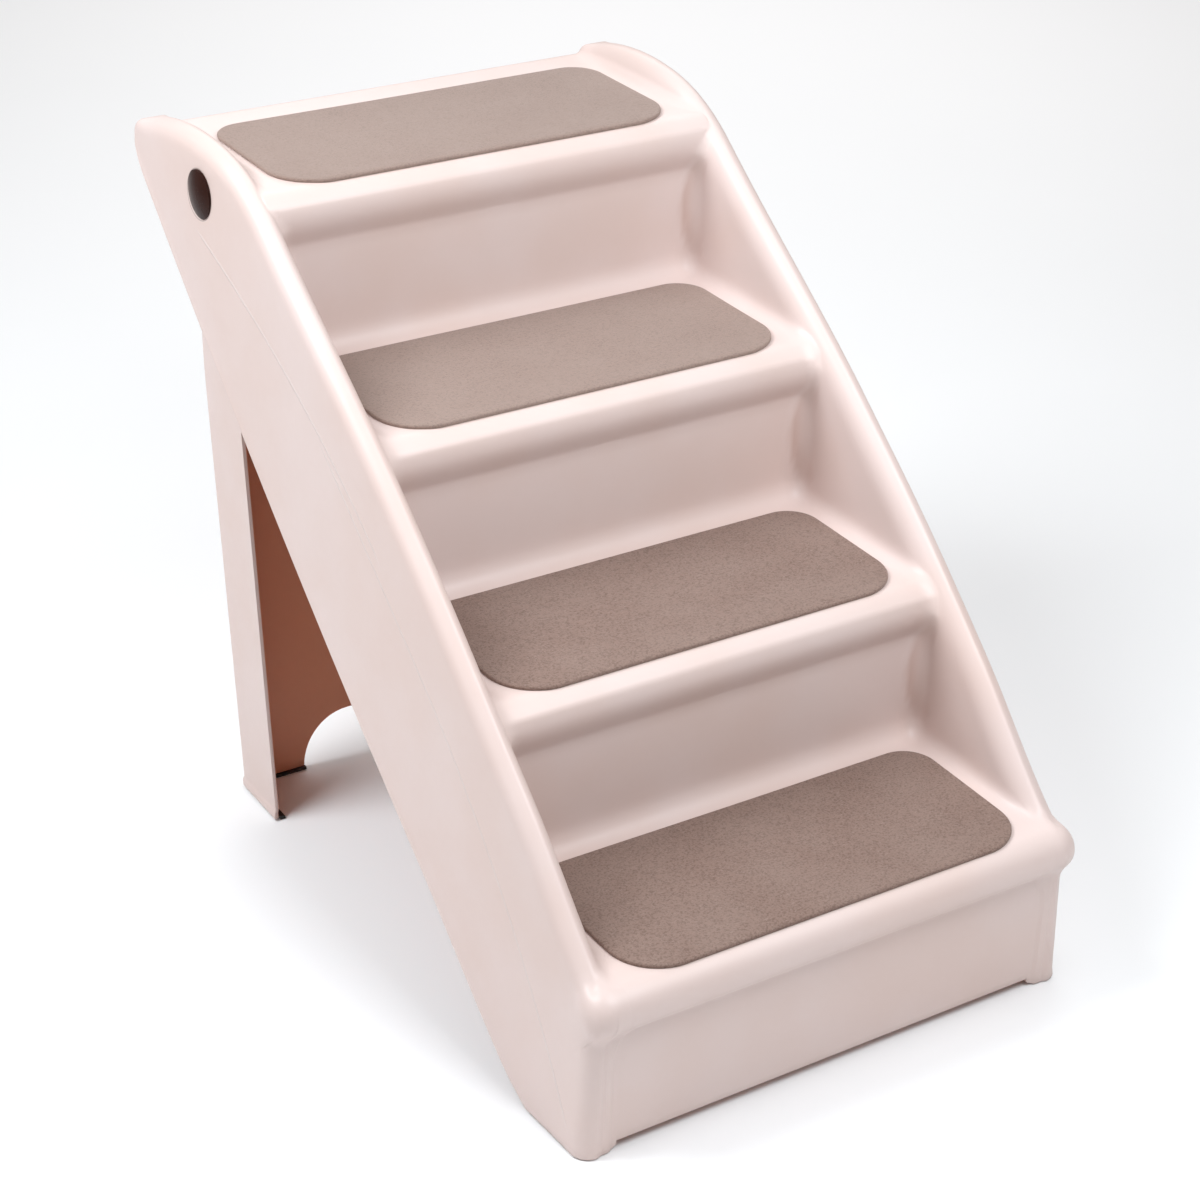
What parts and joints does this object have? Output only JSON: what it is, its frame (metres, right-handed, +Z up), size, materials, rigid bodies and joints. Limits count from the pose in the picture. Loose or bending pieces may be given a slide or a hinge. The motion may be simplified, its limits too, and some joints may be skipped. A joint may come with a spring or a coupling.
{
  "type": "folding pet stairs",
  "caption": "Moulded plastic steps for a small pet, with felt treads, raised side rails and a rear leg that folds up underneath.",
  "frame": {"origin": "on the floor, under the middle of the part's overall box", "axes": "+Z up, +Y from the front toward the rear, the way the stairs rise, +X to the right seen from the front"},
  "size_m": [0.406, 0.648, 0.5215],
  "materials": {
    "shell": "semi-gloss moulded plastic, pale blush",
    "felt": "short dense felt, taupe",
    "cap": "glossy dark brown plastic",
    "steel": "zinc-plated steel",
    "rubber": "dark matt rubber"
  },
  "bodies": {
    "stairs": {"stair_shell": "shell", "tread_mat_1": "felt", "tread_mat_2": "felt", "tread_mat_3": "felt", "tread_mat_4": "felt", "hinge_bolt_left": "steel", "hinge_bolt_right": "steel", "hinge_cap_left": "cap", "hinge_cap_right": "cap", "hinge_washer_outer_left": "steel", "hinge_washer_outer_right": "steel", "hinge_washer_inner_left": "steel", "hinge_washer_inner_right": "steel", "hinge_nut_left": "steel", "hinge_nut_right": "steel", "front_foot_pad_left": "rubber", "front_foot_pad_right": "rubber"},
    "leg": {"support_leg": "shell", "leg_foot_pad_left": "rubber", "leg_foot_pad_right": "rubber"}
  },
  "joints": [
    {"name": "leg_fold", "type": "hinge", "parent": "stairs", "child": "leg", "pos_m": [0, 0.2175, 0.4845], "axis": [1, 0, 0], "range_deg": [-42, 0]}
  ]
}
